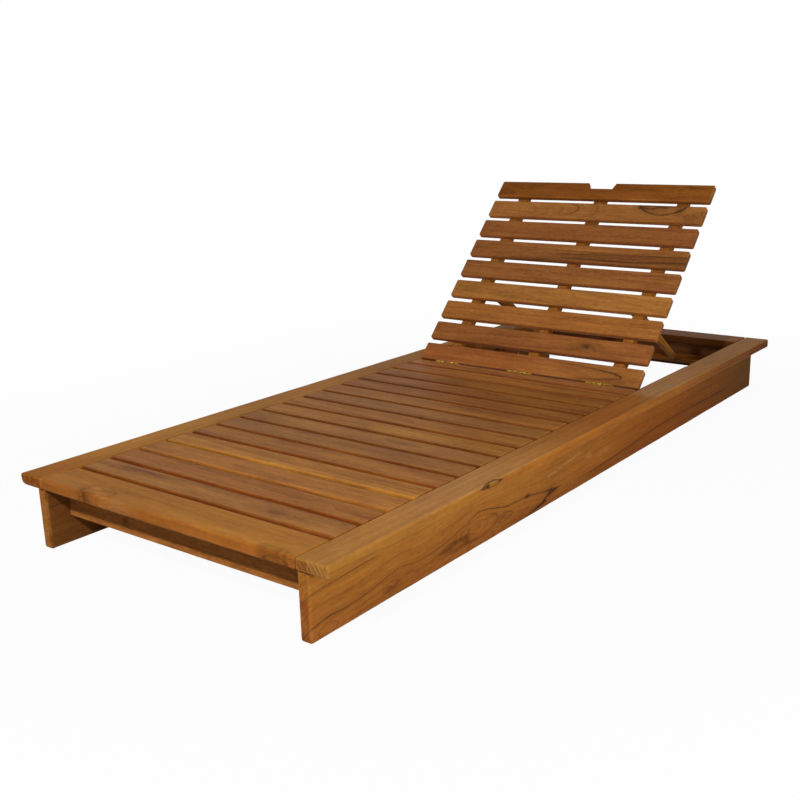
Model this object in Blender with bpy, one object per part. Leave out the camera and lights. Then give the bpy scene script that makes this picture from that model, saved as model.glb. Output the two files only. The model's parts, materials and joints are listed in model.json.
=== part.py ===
"""Low teak sun lounger: slatted deck, hinged slatted backrest and a folding prop.

X runs across, Y from the foot end (-Y) to the head end (+Y), Z up from the ground.
The backrest stands at its photographed angle; its pieces hang on an empty at the hinge pins,
and the prop's pieces hang on a second empty at the prop's pivot bolts.
"""
import math

import bmesh
import bpy
from mathutils import Vector

# Frame, in metres
LENGTH = 2.000
WIDTH = 0.820
DECK_HEIGHT = 0.151
RAIL_WIDTH = 0.070
RAIL_THICKNESS = 0.0235
HEAD_RAIL_WIDTH = 0.086
SIDE_THICKNESS = 0.0255
SIDE_INSET = 0.005
END_BOARD_HEIGHT = 0.0690
END_BOARD_THICKNESS = 0.022
END_BOARD_INSET = 0.0545
BEARER_WIDTH = 0.025
BEARER_HEIGHT = 0.030

# Deck
DECK_SLATS = 17
DECK_GAP = 0.009
FOOT_SLAT_WIDTH = 0.0869
LAST_SLAT_WIDTH = 0.0503
SLAT_THICKNESS = 0.016
SLAT_CORNER = 0.005

# Backrest, measured up the slope from the hinge pins
BACK_ANGLE = math.radians(46.4)
BACK_ANGLE_MAX = math.radians(65.0)
BACK_LENGTH = 0.653
BACK_SLATS = 9
BACK_SLAT_WIDTH = 0.0575
FIRST_BACK_SLAT_WIDTH = 0.054
BATTEN_WIDTH = 0.028
BATTEN_DEPTH = 0.029
BATTEN_INSET = 0.083
BATTEN_START = 0.013
BATTEN_TAPER = 0.050
GRIP_TOP_WIDTH = 0.088
GRIP_BASE_WIDTH = 0.074
GRIP_DEPTH = 0.020
GRIP_CORNER = 0.008
GRIP_FLOOR = 0.003

# Hinges
HINGE_LENGTH = 0.076
HINGE_INSET = 0.1005
HINGE_SHIFT = -0.006
KNUCKLES = 5
KNUCKLE_RADIUS = 0.0034
LEAF_THICKNESS = 0.0013
LEAF_DEPTH = 0.0140
PIN_RADIUS = 0.0016
PIN_PROUD = 0.0012

# Prop: two tapered arms and a cross bar
PIVOT_UP_BACK = 0.2656
ARM_THICKNESS = 0.015
ARM_HEAD_WIDTH = 0.030
ARM_FOOT_WIDTH = 0.0155
PROP_REACH = 0.370
BAR_LIFT = 0.003
BAR_ALONG = 0.026
BAR_DEEP = 0.020
BAR_REST_HEIGHT = 0.1186
PIVOT_BLOCK_WIDTH = 0.018
PIVOT_BLOCK_LENGTH = 0.044
BOLT_RADIUS = 0.003
BOLT_HEAD_RADIUS = 0.007
BOLT_HEAD_THICKNESS = 0.0035

# Notched racks on the side boards
RACK_THICKNESS = 0.021
RACK_HEIGHT = 0.032
NOTCH_DEPTH = 0.008
NOTCH_ANGLES = [math.radians(a) for a in (28.0, 37.0, 46.4, 55.5, 64.0)]
PATH_STEPS = 130

# Clearances
GLUE = 0.0003
DECK_SIDE_GAP = 0.0010
BACK_SIDE_GAP = 0.0020
HEAD_GAP = 0.0146
PIN_PLAY = 0.0003
BOLT_PLAY = 0.0005
ARM_PLAY = 0.0008
BAR_END_GAP = 0.004
BAR_PATH_GAP = 0.0006
BAR_FOLD_GAP = 0.0030
ARM_SLAT_GAP = 0.0040
KNUCKLE_GAP = 0.0004

# Eased edges
RAIL_EDGE = 0.0040
SIDE_EDGE = 0.0050
SLAT_EDGE = 0.0028
BATTEN_EDGE = 0.0020
SMALL_EDGE = 0.0010

# Looks: colour, roughness, metallic
RAIL_TEAK = ((0.320, 0.140, 0.044), 0.55, 0.0)
SIDE_TEAK = ((0.270, 0.100, 0.022), 0.55, 0.0)
HIDDEN_TEAK = ((0.200, 0.075, 0.020), 0.60, 0.0)
DECK_TEAK = [((0.240, 0.092, 0.028), 0.52, 0.0), ((0.265, 0.110, 0.033), 0.52, 0.0),
             ((0.215, 0.080, 0.022), 0.52, 0.0)]
BACK_TEAK = [((0.200, 0.068, 0.018), 0.52, 0.0), ((0.240, 0.084, 0.022), 0.52, 0.0),
             ((0.290, 0.112, 0.027), 0.52, 0.0)]
BRASS = ((0.62, 0.42, 0.10), 0.32, 1.0)

# Derived frame places
foot_y = -LENGTH / 2
head_y = LENGTH / 2
rail_inner = WIDTH / 2 - RAIL_WIDTH
rail_under = DECK_HEIGHT - RAIL_THICKNESS
side_inner = rail_inner - BACK_SIDE_GAP
side_height = rail_under - GLUE
bearer_top = DECK_HEIGHT - SLAT_THICKNESS - GLUE
joint_half = KNUCKLE_RADIUS + GLUE
hinge_y = head_y - HEAD_RAIL_WIDTH - HEAD_GAP - BACK_LENGTH
hinge_z = DECK_HEIGHT
back_half = rail_inner - BACK_SIDE_GAP
batten_offset = back_half - BATTEN_INSET
hinge_offset = back_half - HINGE_INSET
pivot_depth = SLAT_THICKNESS + ARM_SLAT_GAP + ARM_HEAD_WIDTH / 2
batten_back = SLAT_THICKNESS + GLUE + BATTEN_DEPTH


def turned(y, z, angle):
    """Turn a point of the YZ plane about X."""
    return (y * math.cos(angle) - z * math.sin(angle), y * math.sin(angle) + z * math.cos(angle))


def pivot_at(back_angle):
    """Where the prop's pivot lies, in Y and Z, with the backrest at an angle."""
    y, z = turned(PIVOT_UP_BACK, -pivot_depth, back_angle)
    return hinge_y + y, hinge_z + z


# The prop leans so that its bar meets the racks at rest, and lies under the battens when flat.
rest_drop = pivot_at(BACK_ANGLE)[1] - BAR_REST_HEIGHT
reach = math.hypot(PROP_REACH, BAR_LIFT)
lift_angle = math.atan2(BAR_LIFT, PROP_REACH)
prop_rest = -math.asin(rest_drop / reach) - lift_angle
fold_drop = batten_back + BAR_FOLD_GAP + BAR_DEEP / 2 - pivot_depth
prop_flat = -math.asin(fold_drop / reach) - lift_angle
prop_on_back = prop_rest - BACK_ANGLE
prop_ratio = (prop_flat - prop_on_back) / (0.0 - BACK_ANGLE)


def bar_corners(back_angle):
    """The cross bar's four corners, in Y and Z, as the prop folds with the backrest."""
    lean = back_angle + prop_on_back + prop_ratio * (back_angle - BACK_ANGLE)
    pivot = pivot_at(back_angle)
    corners = []
    for along, up in ((-1, -1), (1, -1), (1, 1), (-1, 1)):
        y, z = turned(PROP_REACH + along * BAR_ALONG / 2, BAR_LIFT + up * BAR_DEEP / 2, lean)
        corners.append((pivot[0] + y, pivot[1] + z))
    return corners


def path_floor(y):
    """The lowest height that the bar reaches over a place y in its whole travel."""
    lowest = bearer_top
    for step in range(PATH_STEPS + 1):
        corners = bar_corners(BACK_ANGLE_MAX * step / PATH_STEPS)
        for (y0, z0), (y1, z1) in zip(corners, corners[1:] + corners[:1]):
            if min(y0, y1) <= y <= max(y0, y1) and y0 != y1:
                lowest = min(lowest, z0 + (z1 - z0) * (y - y0) / (y1 - y0))
    return lowest


def clear_scene():
    for obj in list(bpy.data.objects):
        bpy.data.objects.remove(obj, do_unlink=True)


def make_material(name, look):
    colour, roughness, metallic = look
    material = bpy.data.materials.new(name)
    material.use_nodes = True
    shader = material.node_tree.nodes["Principled BSDF"]
    shader.inputs["Base Color"].default_value = (*colour, 1.0)
    shader.inputs["Roughness"].default_value = roughness
    shader.inputs["Metallic"].default_value = metallic
    return material


def add_object(name, bm, look=None, parent=None, place=(0, 0, 0)):
    """Turn a bmesh into a named object; without a look it is a cutter."""
    bmesh.ops.recalc_face_normals(bm, faces=bm.faces[:])
    mesh = bpy.data.meshes.new(name)
    bm.to_mesh(mesh)
    bm.free()
    obj = bpy.data.objects.new(name, mesh)
    bpy.context.scene.collection.objects.link(obj)
    obj.parent = parent
    obj.location = place
    if look:
        mesh.materials.append(make_material(name, look))
    else:
        obj.hide_render = True
        obj.display_type = "WIRE"
    return obj


def add_empty(name, place, angle, parent=None):
    empty = bpy.data.objects.new(name, None)
    bpy.context.scene.collection.objects.link(empty)
    empty.parent = parent
    empty.location = place
    empty.rotation_euler = (angle, 0.0, 0.0)
    return empty


def ease(obj, width, segments):
    """Round the sharp edges."""
    bevel = obj.modifiers.new("Eased edges", "BEVEL")
    bevel.width = width
    bevel.segments = segments
    bevel.limit_method = "ANGLE"
    bevel.angle_limit = math.radians(35.0)


def cut(obj, cutter):
    boolean = obj.modifiers.new(cutter.name, "BOOLEAN")
    boolean.operation = "DIFFERENCE"
    boolean.solver = "EXACT"
    boolean.object = cutter


def box_mesh(size, centre=(0, 0, 0)):
    bm = bmesh.new()
    made = bmesh.ops.create_cube(bm, size=1.0)["verts"]
    bmesh.ops.scale(bm, vec=Vector(size), verts=made)
    bmesh.ops.translate(bm, vec=Vector(centre), verts=made)
    return bm


def prism_mesh(outline, thickness):
    """Extrude an outline of Y and Z points along X, centred on X = 0."""
    bm = bmesh.new()
    ring = [bm.verts.new((-thickness / 2, y, z)) for y, z in outline]
    face = bm.faces.new(ring)
    grown = bmesh.ops.extrude_face_region(bm, geom=[face])["geom"]
    moved = [g for g in grown if isinstance(g, bmesh.types.BMVert)]
    bmesh.ops.translate(bm, vec=Vector((thickness, 0, 0)), verts=moved)
    return bm


def rod_mesh(radius, x_from, x_to, sides):
    """A round rod along X."""
    outline = []
    for step in range(sides):
        turn = 2 * math.pi * step / sides
        outline.append((radius * math.cos(turn), radius * math.sin(turn)))
    bm = prism_mesh(outline, x_to - x_from)
    bmesh.ops.translate(bm, vec=Vector(((x_from + x_to) / 2, 0, 0)), verts=bm.verts[:])
    return bm


def plank(name, low, high, edge, look, segments=3, parent=None):
    """A board between two corners, its origin in its middle."""
    size = [b - a for a, b in zip(low, high)]
    centre = [(a + b) / 2 for a, b in zip(low, high)]
    obj = add_object(name, box_mesh(size), look, parent, centre)
    ease(obj, edge, segments)
    return obj


def slat_mesh(length, width, thickness):
    """A slat across X with corners rounded in plan."""
    bm = box_mesh((length, width, thickness))
    upright = [e for e in bm.edges if abs(e.verts[0].co.z - e.verts[1].co.z) > thickness / 2]
    bmesh.ops.bevel(bm, geom=upright, offset=SLAT_CORNER, segments=3, profile=0.5, affect="EDGES")
    return bm


def build_frame():
    """Two boards on edge carry flat rails; boards across tie the ends together."""
    for side, word in ((-1, "left"), (1, "right")):
        inner, outer = sorted((side * rail_inner, side * WIDTH / 2))
        plank(f"side_rail_{word}", (inner, foot_y, rail_under), (outer, head_y, DECK_HEIGHT),
              RAIL_EDGE, RAIL_TEAK)
        inner, outer = sorted((side * side_inner, side * (side_inner + SIDE_THICKNESS)))
        plank(f"side_board_{word}", (inner, foot_y + SIDE_INSET, 0.0),
              (outer, head_y - SIDE_INSET, side_height), SIDE_EDGE, SIDE_TEAK)
    across = rail_inner - GLUE
    plank("head_rail", (-across, head_y - HEAD_RAIL_WIDTH, rail_under), (across, head_y, DECK_HEIGHT),
          RAIL_EDGE, RAIL_TEAK)
    between = side_inner - GLUE
    top = side_height
    for word, near in (("foot", foot_y + END_BOARD_INSET),
                       ("head", head_y - END_BOARD_INSET - END_BOARD_THICKNESS)):
        plank(f"{word}_board", (-between, near, top - END_BOARD_HEIGHT),
              (between, near + END_BOARD_THICKNESS, top), BATTEN_EDGE, HIDDEN_TEAK, 2)


def build_bearers():
    """Strips under the deck: along both sides, down the middle and across at the hinges."""
    start = foot_y + FOOT_SLAT_WIDTH + DECK_GAP / 2
    bearer_low = bearer_top - BEARER_HEIGHT
    side_end = min(y for y, z in bar_corners(BACK_ANGLE_MAX)) - BEARER_HEIGHT
    outer = side_inner - GLUE
    for side, word in ((-1, "left"), (1, "right")):
        a, b = sorted((side * outer, side * (outer - BEARER_WIDTH)))
        plank(f"bearer_{word}", (a, start, bearer_low), (b, side_end, bearer_top),
              BATTEN_EDGE, HIDDEN_TEAK, 2)
    beam_end = hinge_y - joint_half - LAST_SLAT_WIDTH / 2 + BEARER_WIDTH / 2
    beam_start = beam_end - BEARER_WIDTH
    beam_half = outer - BEARER_WIDTH - GLUE
    plank("hinge_beam", (-beam_half, beam_start, bearer_low), (beam_half, beam_end, bearer_top),
          BATTEN_EDGE, HIDDEN_TEAK, 2)
    plank("bearer_center", (-BEARER_WIDTH / 2, start, bearer_low),
          (BEARER_WIDTH / 2, beam_start - GLUE, bearer_top), BATTEN_EDGE, HIDDEN_TEAK, 2)


def build_deck():
    """Slats across between the rails; the first is as thick as the rails and closes the foot end."""
    deck_end = hinge_y - joint_half
    pitch = (deck_end - foot_y - FOOT_SLAT_WIDTH - LAST_SLAT_WIDTH - DECK_GAP) / (DECK_SLATS - 2)
    half = rail_inner - DECK_SIDE_GAP
    plank("deck_slat_01", (-rail_inner + GLUE, foot_y, rail_under),
          (rail_inner - GLUE, foot_y + FOOT_SLAT_WIDTH, DECK_HEIGHT), RAIL_EDGE, RAIL_TEAK)
    for number in range(2, DECK_SLATS + 1):
        start = foot_y + FOOT_SLAT_WIDTH + DECK_GAP + (number - 2) * pitch
        width = pitch - DECK_GAP if number < DECK_SLATS else LAST_SLAT_WIDTH
        middle = (0.0, start + width / 2, DECK_HEIGHT - SLAT_THICKNESS / 2)
        slat = add_object(f"deck_slat_{number:02d}", slat_mesh(2 * half, width, SLAT_THICKNESS),
                          DECK_TEAK[number % len(DECK_TEAK)], None, middle)
        ease(slat, SLAT_EDGE, 2)


def leaf_profile():
    """A hinge leaf's section: a plate rising tangent into a round barrel about the pin."""
    outline = [(-KNUCKLE_RADIUS, -LEAF_DEPTH - KNUCKLE_RADIUS / 2)]
    last = math.acos(-(KNUCKLE_RADIUS - LEAF_THICKNESS) / KNUCKLE_RADIUS)
    steps = 16
    for step in range(steps + 1):
        turn = math.pi - (math.pi + last) * step / steps
        outline.append((KNUCKLE_RADIUS * math.cos(turn), KNUCKLE_RADIUS * math.sin(turn)))
    outline.append((LEAF_THICKNESS - KNUCKLE_RADIUS, -LEAF_DEPTH - KNUCKLE_RADIUS / 2))
    return outline


def build_hinges(back):
    """Three butt hinges: leaves in the facing slat edges, knuckles turning on a pin."""
    knuckle = HINGE_LENGTH / KNUCKLES
    reach_out = KNUCKLE_RADIUS + KNUCKLE_GAP
    for offset, word in ((-hinge_offset, "left"), (0.0, "center"), (hinge_offset, "right")):
        x = offset + HINGE_SHIFT
        for owner, hand, first, parent in (("deck", 1, 1, None), ("back", -1, 0, back)):
            place = (x, 0, 0) if parent else (x, hinge_y, hinge_z)
            outline = [(hand * y, z) for y, z in leaf_profile()]
            name = f"hinge_{word}_{owner}_leaf"
            leaf = add_object(name, prism_mesh(outline, HINGE_LENGTH), BRASS, parent, place)
            gaps = bmesh.new()
            for number in range(first, KNUCKLES, 2):
                middle = -HINGE_LENGTH / 2 + (number + 0.5) * knuckle
                made = bmesh.ops.create_cube(gaps, size=1.0)["verts"]
                size = (knuckle + 2 * KNUCKLE_GAP, 2.4 * reach_out, 2.0 * reach_out)
                bmesh.ops.scale(gaps, vec=Vector(size), verts=made)
                bmesh.ops.translate(gaps, vec=Vector((middle, 0, 0)), verts=made)
            cut(leaf, add_object(f"{name}_gaps", gaps, None, parent, place))
            bore = rod_mesh(PIN_RADIUS + PIN_PLAY, -HINGE_LENGTH, HINGE_LENGTH, 16)
            cut(leaf, add_object(f"{name}_bore", bore, None, parent, place))
        pin = rod_mesh(PIN_RADIUS, -HINGE_LENGTH / 2 - PIN_PROUD, HINGE_LENGTH / 2 + PIN_PROUD, 12)
        ease(add_object(f"hinge_{word}_pin", pin, BRASS, None, (x, hinge_y, hinge_z)), 0.0005, 1)


def build_back_slats(back):
    """Nine slats up the slope; the top one has a hand grip cut into its upper edge."""
    first_top = joint_half + FIRST_BACK_SLAT_WIDTH
    pitch = (BACK_LENGTH - first_top) / (BACK_SLATS - 1)
    for number in range(1, BACK_SLATS + 1):
        width = FIRST_BACK_SLAT_WIDTH if number == 1 else BACK_SLAT_WIDTH
        middle = (0.0, first_top + (number - 1) * pitch - width / 2, -SLAT_THICKNESS / 2)
        slat = add_object(f"back_slat_{number}", slat_mesh(2 * back_half, width, SLAT_THICKNESS),
                          BACK_TEAK[number % len(BACK_TEAK)], back, middle)
        if number == BACK_SLATS:
            cut(slat, grip_cutter(back, middle, width))
        ease(slat, SLAT_EDGE, 2)


def grip_cutter(back, middle, width):
    """A tapered block with rounded lower corners."""
    bm = bmesh.new()
    over = GRIP_DEPTH
    slope = (GRIP_TOP_WIDTH - GRIP_BASE_WIDTH) / 2 / GRIP_DEPTH
    base, top = -GRIP_DEPTH, over
    wide = GRIP_TOP_WIDTH / 2 + slope * over
    outline = [(-GRIP_BASE_WIDTH / 2, base), (GRIP_BASE_WIDTH / 2, base), (wide, top), (-wide, top)]
    ring = [bm.verts.new((x, width / 2 + y, -SLAT_THICKNESS)) for x, y in outline]
    grown = bmesh.ops.extrude_face_region(bm, geom=[bm.faces.new(ring)])["geom"]
    moved = [g for g in grown if isinstance(g, bmesh.types.BMVert)]
    bmesh.ops.translate(bm, vec=Vector((0, 0, 2 * SLAT_THICKNESS)), verts=moved)
    low = [e for e in bm.edges if all(v.co.y < width / 2 for v in e.verts)
           and abs(e.verts[0].co.z - e.verts[1].co.z) > SLAT_THICKNESS]
    bmesh.ops.bevel(bm, geom=low, offset=GRIP_CORNER, segments=4, profile=0.5, affect="EDGES")
    return add_object("grip_cutter", bm, None, back, middle)


def build_battens(back):
    """Three battens behind the slats; the outer two thin out upwards, the middle one ends below the grip."""
    front = -SLAT_THICKNESS - GLUE
    rear = -batten_back
    for x, word in ((-batten_offset, "left"), (0.0, "center"), (batten_offset, "right")):
        outline = [(BATTEN_START, front), (BATTEN_START, rear)]
        if x:
            top = BACK_LENGTH - SLAT_CORNER
            outline += [(top - BATTEN_TAPER, rear), (top, (front + rear) / 2)]
        else:
            top = BACK_LENGTH - GRIP_DEPTH - GRIP_FLOOR
            outline += [(top, rear)]
        outline.append((top, front))
        batten = add_object(f"back_batten_{word}", prism_mesh(outline, BATTEN_WIDTH), HIDDEN_TEAK,
                            back, (x, 0, 0))
        if x:
            hole = rod_mesh(BOLT_RADIUS + GLUE, -BATTEN_WIDTH, BATTEN_WIDTH / 4, 16)
            if x < 0:
                bmesh.ops.scale(hole, vec=Vector((-1, 1, 1)), verts=hole.verts[:])
            place = (x, PIVOT_UP_BACK, -pivot_depth)
            ease(batten, BATTEN_EDGE, 2)
            cut(batten, add_object(f"bolt_hole_{word}", hole, None, back, place))
        else:
            ease(batten, BATTEN_EDGE, 2)


def arm_outline():
    """A long taper from a round head at the pivot to a square foot at the cross bar."""
    head = ARM_HEAD_WIDTH / 2
    foot = ARM_FOOT_WIDTH / 2
    end = PROP_REACH - BAR_ALONG / 2 - GLUE
    lean = math.asin((head - foot) / end)
    steps = 12
    outline = [(end, foot)]
    for step in range(steps + 1):
        turn = math.pi / 2 - lean + (math.pi + 2 * lean) * step / steps
        outline.append((head * math.cos(turn), head * math.sin(turn)))
    outline.append((end, -foot))
    return outline


def build_prop(back, prop):
    """A U-shaped prop: arms bolted beside the outer battens, and a bar across their feet."""
    batten_side = batten_offset - BATTEN_WIDTH / 2
    block_inner = batten_side - GLUE - PIVOT_BLOCK_WIDTH
    arm_outer = block_inner - ARM_PLAY
    arm_middle = arm_outer - ARM_THICKNESS / 2
    head_start = arm_outer - ARM_THICKNESS - BOLT_PLAY
    for side, word in ((-1, "left"), (1, "right")):
        place = (side * (block_inner + PIVOT_BLOCK_WIDTH / 2), PIVOT_UP_BACK, 0)
        low, high = -batten_back, -SLAT_THICKNESS - GLUE
        size = (PIVOT_BLOCK_WIDTH, PIVOT_BLOCK_LENGTH, high - low)
        block = add_object(f"pivot_block_{word}", box_mesh(size, (0, 0, (low + high) / 2)),
                           HIDDEN_TEAK, back, place)
        ease(block, SMALL_EDGE, 2)
        hole = rod_mesh(BOLT_RADIUS + GLUE, -PIVOT_BLOCK_WIDTH, PIVOT_BLOCK_WIDTH, 16)
        cut(block, add_object(f"block_hole_{word}", hole, None, back,
                              (place[0], PIVOT_UP_BACK, -pivot_depth)))

        arm = add_object(f"prop_arm_{word}", prism_mesh(arm_outline(), ARM_THICKNESS), SIDE_TEAK,
                         prop, (side * arm_middle, 0, 0))
        ease(arm, BATTEN_EDGE, 2)
        hole = rod_mesh(BOLT_RADIUS + BOLT_PLAY, -ARM_THICKNESS, ARM_THICKNESS, 16)
        cut(arm, add_object(f"arm_hole_{word}", hole, None, prop, (side * arm_middle, 0, 0)))

        bolt = bolt_mesh(head_start, batten_offset)
        if side < 0:
            bmesh.ops.scale(bolt, vec=Vector((-1, 1, 1)), verts=bolt.verts[:])
        add_object(f"pivot_bolt_{word}", bolt, BRASS, back, (0, PIVOT_UP_BACK, -pivot_depth))

    half = side_inner - BAR_END_GAP
    plank("prop_crossbar", (-half, PROP_REACH - BAR_ALONG / 2, BAR_LIFT - BAR_DEEP / 2),
          (half, PROP_REACH + BAR_ALONG / 2, BAR_LIFT + BAR_DEEP / 2), BATTEN_EDGE, SIDE_TEAK, 2, prop)


def bolt_mesh(head_start, end):
    """A round-headed bolt along X, turned from its half section."""
    dome = [(0.0, -BOLT_HEAD_THICKNESS), (0.6, -0.85 * BOLT_HEAD_THICKNESS),
            (0.9, -0.5 * BOLT_HEAD_THICKNESS), (1.0, 0.0)]
    section = [(head_start + x, share * BOLT_HEAD_RADIUS) for share, x in dome]
    section += [(head_start, BOLT_RADIUS), (end, BOLT_RADIUS), (end, 0.0)]
    bm = bmesh.new()
    chain = [bm.verts.new((x, radius, 0)) for x, radius in section]
    edges = [bm.edges.new(pair) for pair in zip(chain, chain[1:])]
    bmesh.ops.spin(bm, geom=chain + edges, cent=(0, 0, 0), axis=(1, 0, 0), angle=2 * math.pi,
                   steps=16, use_merge=True)
    bmesh.ops.remove_doubles(bm, verts=bm.verts[:], dist=0.00005)
    return bm


def rack_outline():
    """A strip with sloping notches, its top just under the path of the prop's bar."""
    ramp = NOTCH_DEPTH / math.tan(-prop_rest)
    wall = NOTCH_DEPTH * math.tan(-prop_rest)
    seats = sorted(min(bar_corners(angle), key=lambda corner: corner[1])[0] for angle in NOTCH_ANGLES)
    start = seats[0] - 1.6 * ramp
    end = seats[-1] + 1.6 * wall
    spots = [start]
    for seat in seats:
        spots += [seat - ramp, seat, seat + wall]
    spots.append(end)
    outline = []
    for spot in spots:
        top = path_floor(spot) - BAR_PATH_GAP
        outline.append((spot, top - NOTCH_DEPTH if spot in seats else top))
    low = min(z for y, z in outline) - RACK_HEIGHT + NOTCH_DEPTH
    return outline + [(end, low), (start, low)]


def build_racks():
    """A notched strip on the inside of each side board."""
    middle = side_inner - GLUE - RACK_THICKNESS / 2
    for side, word in ((-1, "left"), (1, "right")):
        rack = add_object(f"rack_{word}", prism_mesh(rack_outline(), RACK_THICKNESS), HIDDEN_TEAK, None,
                          (side * middle, 0, 0))
        ease(rack, SMALL_EDGE, 2)


clear_scene()
backrest = add_empty("backrest_hinge", (0, hinge_y, hinge_z), BACK_ANGLE)
prop_frame = add_empty("prop_pivot", (0, PIVOT_UP_BACK, -pivot_depth), prop_on_back, backrest)
build_frame()
build_bearers()
build_deck()
build_hinges(backrest)
build_back_slats(backrest)
build_battens(backrest)
build_prop(backrest, prop_frame)
build_racks()
bpy.context.view_layer.update()

print("hinge", round(hinge_y, 5), round(hinge_z, 5), "back range",
      round(-math.degrees(BACK_ANGLE), 3), round(math.degrees(BACK_ANGLE_MAX - BACK_ANGLE), 3))
print("pivot", [round(v, 5) for v in pivot_at(BACK_ANGLE)], "ratio", round(prop_ratio, 5),
      "lean", round(math.degrees(prop_rest), 2))
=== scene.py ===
# Looks of a low teak sun lounger: rails on boards, a slatted deck, a hinged slatted backrest and its prop.
import json
import math

import bmesh
import bpy
import numpy as np
from mathutils import Matrix, Vector


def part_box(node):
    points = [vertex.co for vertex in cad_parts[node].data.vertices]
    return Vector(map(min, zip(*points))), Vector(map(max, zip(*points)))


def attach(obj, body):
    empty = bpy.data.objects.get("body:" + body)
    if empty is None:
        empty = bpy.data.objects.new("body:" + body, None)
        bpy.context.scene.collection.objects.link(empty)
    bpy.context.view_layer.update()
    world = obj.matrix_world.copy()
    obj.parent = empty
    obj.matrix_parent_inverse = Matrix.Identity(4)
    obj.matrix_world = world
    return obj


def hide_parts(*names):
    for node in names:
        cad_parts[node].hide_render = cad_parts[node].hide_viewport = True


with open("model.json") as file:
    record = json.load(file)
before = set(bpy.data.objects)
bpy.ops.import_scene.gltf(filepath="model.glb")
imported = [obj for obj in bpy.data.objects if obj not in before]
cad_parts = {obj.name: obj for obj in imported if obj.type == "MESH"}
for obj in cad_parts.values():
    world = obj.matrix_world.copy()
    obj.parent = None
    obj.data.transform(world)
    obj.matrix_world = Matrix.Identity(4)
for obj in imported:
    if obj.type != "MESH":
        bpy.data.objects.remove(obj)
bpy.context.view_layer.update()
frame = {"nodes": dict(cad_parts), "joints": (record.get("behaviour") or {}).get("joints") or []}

# Side boards: two teak planks on edge that stand on the ground and carry everything else.
# Planed, sanded along the edges and oiled; the right one shows a big knot, a dark vein and some scuffs.
RIGHT, AWAY, UP = Vector((1, 0, 0)), Vector((0, 1, 0)), Vector((0, 0, 1))
TONES = {
    "amber": (0.352, 0.130, 0.030),
    "golden": (0.338, 0.134, 0.024),
    "tan": (0.302, 0.114, 0.023),
    "orange": (0.310, 0.110, 0.020),
    "brown": (0.262, 0.094, 0.020),
    "red": (0.245, 0.083, 0.018),
    "dark": (0.230, 0.076, 0.017),
    "grey": (0.270, 0.108, 0.026),
}


def laid(along, across):
    """Turns plank places (along the grain, across the face, through) into places of the lounger."""
    return Matrix((along, across, along.cross(across))).transposed()


def places_of(mesh):
    """Where the points of a mesh are."""
    places = np.empty(len(mesh.vertices) * 3, np.float32)
    mesh.vertices.foreach_get("co", places)
    return places.reshape(-1, 3)


def extent(node, lay):
    """A node's lowest and highest corner in plank places."""
    places = places_of(frame["nodes"][node].data) @ np.array(lay)
    return places.min(0), places.max(0)


FIRM_STRIP = 0.0008
UNEVEN, LEAST_ROUND = 0.3, 0.03


def section(half_width, half_depth, edge, step):
    """Round a plank's section: share across, share through, normal across, normal through, on an edge.

    A firm strip between each face and its rounded edges keeps the face flat in the light."""

    def shares(half):
        flat = half - edge
        inner = 1 - FIRM_STRIP / flat
        return np.linspace(-inner, inner, max(2, math.ceil(2 * flat / step)))

    turns = np.radians(np.linspace(0, 90, 5))
    across, through = shares(half_width), shares(half_depth)
    rows = [(u, -1, 0, -1, 0) for u in across]
    rows += [(1, -1, math.sin(t), -math.cos(t), 1) for t in turns]
    rows += [(1, v, 1, 0, 0) for v in through]
    rows += [(1, 1, math.cos(t), math.sin(t), 1) for t in turns]
    rows += [(u, 1, 0, 1, 0) for u in across[::-1]]
    rows += [(-1, 1, -math.sin(t), math.cos(t), 1) for t in turns]
    rows += [(-1, v, -1, 0, 0) for v in through[::-1]]
    rows += [(-1, -1, -math.cos(t), -math.sin(t), 1) for t in turns]
    return np.array(rows), len(across), len(through) + 2 * len(turns)


def sanding(along, seed):
    """How unevenly an edge was sanded, from 0 to 1 along the plank."""
    phases = np.random.default_rng(seed).uniform(0, 6.28, 4)
    waves = sum(np.sin(along * f + p) / 4 for f, p in zip((5.3, 13.7, 31.0, 71.0), phases))
    return 0.5 + 0.5 * waves


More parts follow.
